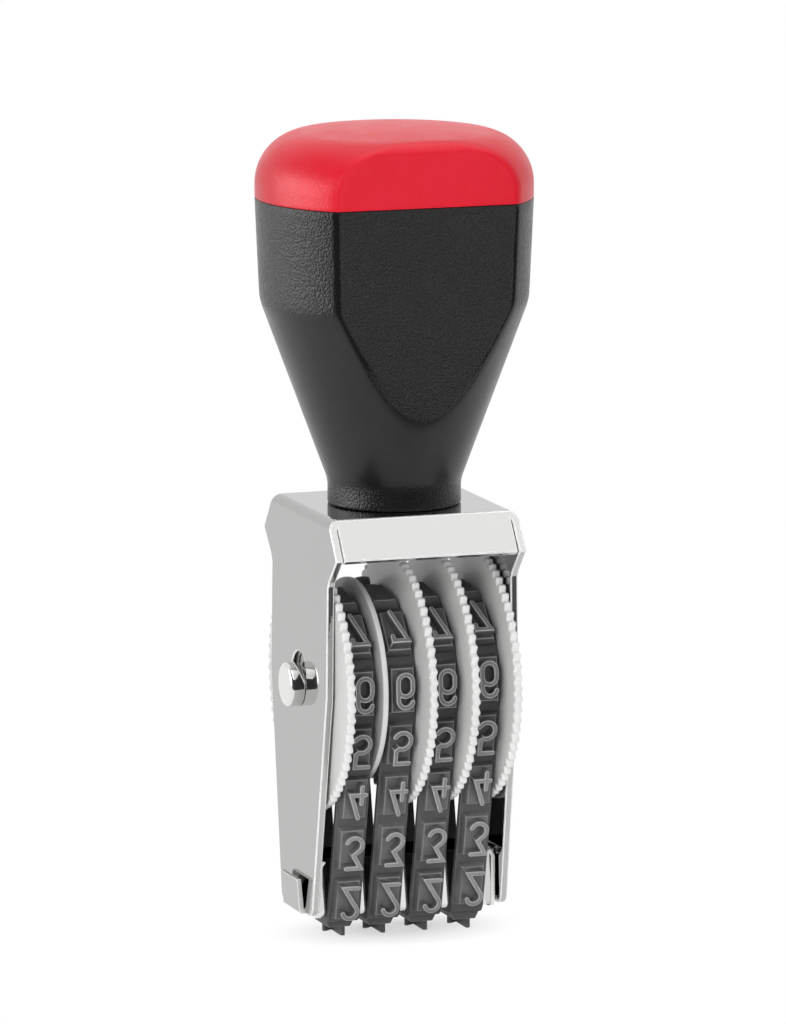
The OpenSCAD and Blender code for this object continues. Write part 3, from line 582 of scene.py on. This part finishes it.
# copy of a solid with its outer edges broken, with a mark on the broken edges
# and other marks by tests of a face
def softenedCopy(nodeName, radius, segments, sharpFrom=28.0, tests=None, highlitOrSheared=None, crisp=None):
    bm = bmesh.new()
    bm.from_mesh(cadNodes[nodeName].data)
    mark = bm.faces.layers.float.new("edgeMark")
    for layerName in tests or {}:
        bm.faces.layers.float.new(layerName)
    bmesh.ops.remove_doubles(bm, verts=bm.verts, dist=joining["weld"])
    bmesh.ops.dissolve_limit(bm, angle_limit=math.radians(joining["flatWithin"]),
                             verts=bm.verts, edges=bm.edges)
    bm.normal_update()
    limit = math.radians(sharpFrom)
    edges = [e for e in bm.edges if len(e.link_faces) == 2 and e.calc_face_angle() > limit and e.is_convex]
    if crisp is not None:
        edges = [e for e in edges if not any(crisp(face) for face in e.link_faces)]
    for layerName, test in (tests or {}).items():
        layer = bm.faces.layers.float[layerName]
        for face in bm.faces:
            face[layer] = 1.0 if test(face) else 0.0
    broken = bmesh.ops.bevel(bm, geom=edges, offset=radius, offset_type="OFFSET", segments=segments,
                             profile=0.5, affect="EDGES", clamp_overlap=False, material=-1)
    for face in broken["faces"]:
        # the mark on the broken faces carries a painted highlight
        face[mark] = 1.0 if highlitOrSheared is None or highlitOrSheared(face) else 0.0
    bmesh.ops.dissolve_degenerate(bm, dist=weld, edges=bm.edges)
    return bm


# where the metal's faces lie: lengths in millimetres, slopes as shares of a normal
faceSet = {"slope": 0.1, "across": 0.9, "lipArea": 30, "keyhole": 6, "ear": 10, "hook": 13, "trough": 6}


# faces of the frame that were sheared: they look along Y, and aren't the faces of a lip or of a keyhole
def shearedFrame(face):
    middle = face.calc_center_median()
    lipFace = face.calc_area() > faceSet["lipArea"] * mm * mm and abs(face.normal.x) < faceSet["slope"]
    keyholeFace = math.hypot(middle.y, middle.z - axleHeight * mm) < faceSet["keyhole"] * mm
    return abs(face.normal.y) > faceSet["slope"] and not lipFace and not keyholeFace


# faces of the bridge that were sheared: the front and back of its ears and hooks
def shearedBridge(face):
    return abs(face.normal.y) > faceSet["across"] and abs(face.calc_center_median().x) > faceSet["ear"] * mm


# faces of the bridge's hooks, outside the side plates
def hookFace(face):
    return abs(face.calc_center_median().x) > faceSet["hook"] * mm


# long faces of the bridge's trough, which keep crisp edges
def troughFace(face):
    return abs(face.calc_center_median().x) < faceSet["trough"] * mm


# metal: folded frame, printing bridge and turned axle, with their broken edges in millimetres
metal = {"foldedFrame": {"node": "frame", "edge": 0.19, "segments": 3, "tests": {"cutEdge": shearedFrame},
                         "highlitOrSheared": None, "crisp": None, "finish": frameNickel, "slot": "frame_nickel"},
         "printingBridge": {"node": "printing_bridge", "edge": 0.08, "segments": 2,
                            "tests": {"cutEdge": shearedBridge, "outerFace": hookFace},
                            "highlitOrSheared": hookFace, "crisp": troughFace,
                            "finish": bridgeNickel, "slot": "bridge_nickel"},
         "turnedAxle": {"node": "axle", "edge": 0.08, "segments": 2, "tests": {},
                        "highlitOrSheared": None, "crisp": None, "finish": axleNickel, "slot": "axle_nickel"}}
smoothMetal = 30
for name, m in metal.items():
    bm = softenedCopy(m["node"], m["edge"] * mm, m["segments"], tests=m["tests"],
                      highlitOrSheared=m["highlitOrSheared"], crisp=m["crisp"])
    made = makePiece(name, bm, m["finish"], "stamp", m["node"], smoothMetal)
    print(name, "made:", len(made.data.polygons), "faces")

# setting wheels and the smooth disc between the first two
wheels = {"edge": 0.28, "segments": 4, "sharpFrom": 60.0, "smooth": 62.0, "count": 4}
for i in range(1, wheels["count"] + 1):
    bm = softenedCopy("setting_wheel_%d" % i, wheels["edge"] * mm, wheels["segments"], wheels["sharpFrom"])
    made = makePiece("settingWheel%d" % i, bm, wheelWhite, "wheel_%d" % i,
                     "setting_wheel_%d" % i, wheels["smooth"])
print("setting wheels made:", len(made.data.polygons), "faces each")
separatorDisc = {"edge": 0.16, "segments": 3, "smooth": 30}
bm = softenedCopy("separator_disc", separatorDisc["edge"] * mm, separatorDisc["segments"])
makePiece("separatorDisc", bm, separatorGrey, "stamp", "separator_disc",
          separatorDisc["smooth"])

# number bands: broken edges, and how far each point stands over the inside of the band, in millimetres
bands = {"edge": 0.11, "segments": 2, "sharpFrom": 35.0, "smooth": 32.0, "count": 4, "axle": axleHeight,
         "drum": 10.5, "halfFlat": 3.23, "corner": 0.8, "cornerHeight": 3.8, "bottom": 3.0, "full": 3.0}


def reliefOf(b, y, z):
    across = abs(y) - b["halfFlat"]
    up = z - b["cornerHeight"]
    rise = b["axle"] - b["cornerHeight"]
    span = math.hypot(b["halfFlat"], rise)
    tilt = math.asin((b["drum"] - b["corner"]) / span) - math.atan2(b["halfFlat"], rise)
    along = across * math.sin(tilt) + up * math.cos(tilt)
    if along < 0:
        return b["bottom"] - z if across < 0 else math.hypot(across, up) - b["corner"]
    if along > math.sqrt(span ** 2 - (b["drum"] - b["corner"]) ** 2):
        return math.hypot(y, z - b["axle"]) - b["drum"]
    return across * math.cos(tilt) - up * math.sin(tilt) - b["corner"]


for i in range(1, bands["count"] + 1):
    bm = softenedCopy("number_band_%d" % i, bands["edge"] * mm, bands["segments"], bands["sharpFrom"])
    height = bm.verts.layers.float.new("relief")
    for v in bm.verts:
        v[height] = reliefOf(bands, v.co.y / mm, v.co.z / mm) / bands["full"]
    made = makePiece("numberBand%d" % i, bm, bandRubber, "stamp", "number_band_%d" % i,
                     bands["smooth"])
print("number bands made:", len(made.data.polygons), "faces each")

# fixing pieces inside the handle keep their own solids
for nodeName in ("handle_screw", "screw_washer", "screw_nut"):
    solid = cadNodes[nodeName]
    solid.data.materials.clear()
    solid.data.materials.append(fixingSteel)

# floor: a white sheet that keeps the soft shadow near the stamp, and mirrors dim in front of it
floorSet = {"left": -1.5, "right": 1.5, "front": -0.6, "back": 3.0, "white": 0.9, "nearGlow": 0.60,
            "shadowFrom": 0.003, "shadowTo": 0.011, "shadowShape": (0.62, 1.0, 1.0),
            "dimBefore": -0.085, "dim": 0.06}


def makeFloor(f):
    bm = bmesh.new()
    corners = [(f["left"], f["front"]), (f["right"], f["front"]),
               (f["right"], f["back"]), (f["left"], f["back"])]
    bm.faces.new([bm.verts.new((x, y, 0.0)) for x, y in corners])
    mesh = bpy.data.meshes.new("paleFloor")
    bm.to_mesh(mesh)
    bm.free()
    material = bpy.data.materials.new("paleFloor")
    material.use_nodes = True
    tree = material.node_tree
    tree.nodes.clear()
    plain = addNode(tree, "ShaderNodeBsdfDiffuse", {"Color": grey(f["white"])})
    glow = addNode(tree, "ShaderNodeEmission", {"Color": grey(1.0)})
    path = addNode(tree, "ShaderNodeLightPath")
    seen = addNode(tree, "ShaderNodeMath", operation="MAXIMUM")
    also = addNode(tree, "ShaderNodeMath", operation="MAXIMUM")
    place = addNode(tree, "ShaderNodeTexCoord")
    shaped = addNode(tree, "ShaderNodeVectorMath", {1: f["shadowShape"]}, operation="MULTIPLY")
    away = addNode(tree, "ShaderNodeVectorMath", operation="LENGTH")
    share = addNode(tree, "ShaderNodeMapRange", {"From Min": f["shadowFrom"], "From Max": f["shadowTo"],
                                                 "To Min": f["nearGlow"], "To Max": 1.0})
    shown = addNode(tree, "ShaderNodeMath", operation="MULTIPLY")
    parts = addNode(tree, "ShaderNodeSeparateXYZ")
    before = addNode(tree, "ShaderNodeMath", {1: f["dimBefore"]}, operation="LESS_THAN")
    dimmed = addNode(tree, "ShaderNodeMath", operation="MULTIPLY")
    level = addNode(tree, "ShaderNodeMapRange", {"To Min": 1.0, "To Max": f["dim"]})
    mix = addNode(tree, "ShaderNodeMixShader")
    out = addNode(tree, "ShaderNodeOutputMaterial")
    wire(tree, path, "Is Camera Ray", seen, 0)
    wire(tree, path, "Is Glossy Ray", seen, 1)
    wire(tree, seen, 0, also, 0)
    wire(tree, path, "Is Transmission Ray", also, 1)
    wire(tree, place, "Object", shaped, 0)
    wire(tree, shaped, "Vector", away, 0)
    wire(tree, away, "Value", share, "Value")
    wire(tree, share, "Result", shown, 0)
    wire(tree, also, 0, shown, 1)
    wire(tree, place, "Object", parts, "Vector")
    wire(tree, parts, "Y", before, 0)
    wire(tree, before, 0, dimmed, 0)
    wire(tree, path, "Is Glossy Ray", dimmed, 1)
    wire(tree, dimmed, 0, level, "Value")
    wire(tree, level, "Result", glow, "Strength")
    wire(tree, shown, 0, mix, "Fac")
    wire(tree, plain, "BSDF", mix, 1)
    wire(tree, glow, "Emission", mix, 2)
    wire(tree, mix, "Shader", out, "Surface")
    mesh.materials.append(material)
    floor = bpy.data.objects.new("paleFloor", mesh)
    bpy.context.scene.collection.objects.link(floor)


makeFloor(floorSet)

# soft studio light: a white room that mirrors dim on one side in front, and broad lamps,
# of which some only light the stamp and some are only mirrored in it
room = {"fill": 0.28, "dim": 0.06, "white": 0.95, "dimSide": (-0.38, -0.925, 0.0),
        "dimFrom": -0.2, "dimTo": 0.65}
lampAim = (0.0, 0.0, 0.055)
lamps = {"sideLeft": {"place": (-0.443, 0.078, 0.130), "width": 0.46, "height": 0.26, "power": 1.65,
                      "lights": False},
         "frontLeft": {"place": (-0.62, -0.62, 0.30), "width": 0.50, "height": 0.50, "power": 3.3,
                       "lights": True},
         "overhead": {"place": (0.12, -0.38, 0.85), "width": 1.20, "height": 1.00, "power": 5.3,
                      "lights": False},
         "top": {"place": (0.10, 0.22, 0.95), "width": 0.80, "height": 0.80, "power": 5.0,
                 "lights": True},
         "front": {"place": (0.15, -1.05, 0.10), "width": 0.60, "height": 0.50, "power": 3.2,
                   "lights": True}}


def makeRoom(r):
    world = bpy.data.worlds.new("whiteRoom")
    bpy.context.scene.world = world
    world.use_nodes = True
    tree = world.node_tree
    tree.nodes.clear()
    path = addNode(tree, "ShaderNodeLightPath")
    place = addNode(tree, "ShaderNodeTexCoord")
    towards = addNode(tree, "ShaderNodeVectorMath", {1: r["dimSide"]}, operation="DOT_PRODUCT")
    mirrored = addNode(tree, "ShaderNodeMapRange", {"From Min": r["dimFrom"], "From Max": r["dimTo"],
                                                    "To Min": r["white"], "To Max": r["dim"]})
    lit = addNode(tree, "ShaderNodeMix", data_type="FLOAT")
    lit.inputs["A"].default_value = r["fill"]
    shown = addNode(tree, "ShaderNodeMix", data_type="FLOAT")
    shown.inputs["B"].default_value = 1.0
    sky = addNode(tree, "ShaderNodeBackground", {"Color": grey(1.0)})
    out = addNode(tree, "ShaderNodeOutputWorld")
    wire(tree, place, "Generated", towards, 0)
    wire(tree, towards, "Value", mirrored, "Value")
    wire(tree, path, "Is Glossy Ray", lit, "Factor")
    wire(tree, mirrored, "Result", lit, "B")
    wire(tree, path, "Is Camera Ray", shown, "Factor")
    wire(tree, lit, "Result", shown, "A")
    wire(tree, shown, "Result", sky, "Strength")
    wire(tree, sky, "Background", out, "Surface")


def makeLamp(name, place, width, height, power, lights):
    lamp = bpy.data.lights.new(name, "AREA")
    lamp.shape = "RECTANGLE"
    lamp.size, lamp.size_y, lamp.energy = width, height, power
    thing = bpy.data.objects.new(name, lamp)
    thing.location = place
    thing.visible_diffuse, thing.visible_glossy = lights, not lights
    thing.rotation_euler = (Vector(lampAim) - Vector(place)).to_track_quat("-Z", "Y").to_euler()
    bpy.context.scene.collection.objects.link(thing)


makeRoom(room)
for name, settings in lamps.items():
    makeLamp(name, **settings)
print("room and lamps made")

# camera, in degrees, millimetres and pixels of the picture, with its clipping in metres
camera = {"azimuth": 19.10, "elevation": 9.68, "distance": 1116.6, "aim": (0.0, 0.0, 54.0), "focal": 8473.0,
          "right": 1.2, "down": 15.1, "tall": 1024.0, "sensor": 36.0, "clipNear": 0.05, "clipFar": 20.0}


def makeCamera(c):
    a, e = math.radians(c["azimuth"]), math.radians(c["elevation"])
    back = Vector((-math.sin(a) * math.cos(e), -math.cos(a) * math.cos(e), math.sin(e)))
    lens = bpy.data.cameras.new("photoView")
    lens.sensor_width = c["sensor"]
    lens.lens = c["focal"] / c["tall"] * lens.sensor_width
    lens.shift_x = -c["right"] / c["tall"]
    lens.shift_y = c["down"] / c["tall"]
    lens.clip_start, lens.clip_end = c["clipNear"], c["clipFar"]
    view = bpy.data.objects.new("photoView", lens)
    view.location = (Vector(c["aim"]) + back * c["distance"]) * mm
    view.rotation_euler = (-back).to_track_quat("-Z", "Y").to_euler()
    bpy.context.scene.collection.objects.link(view)
    bpy.context.scene.camera = view


makeCamera(camera)
bpy.context.scene.view_settings.view_transform = "Standard"
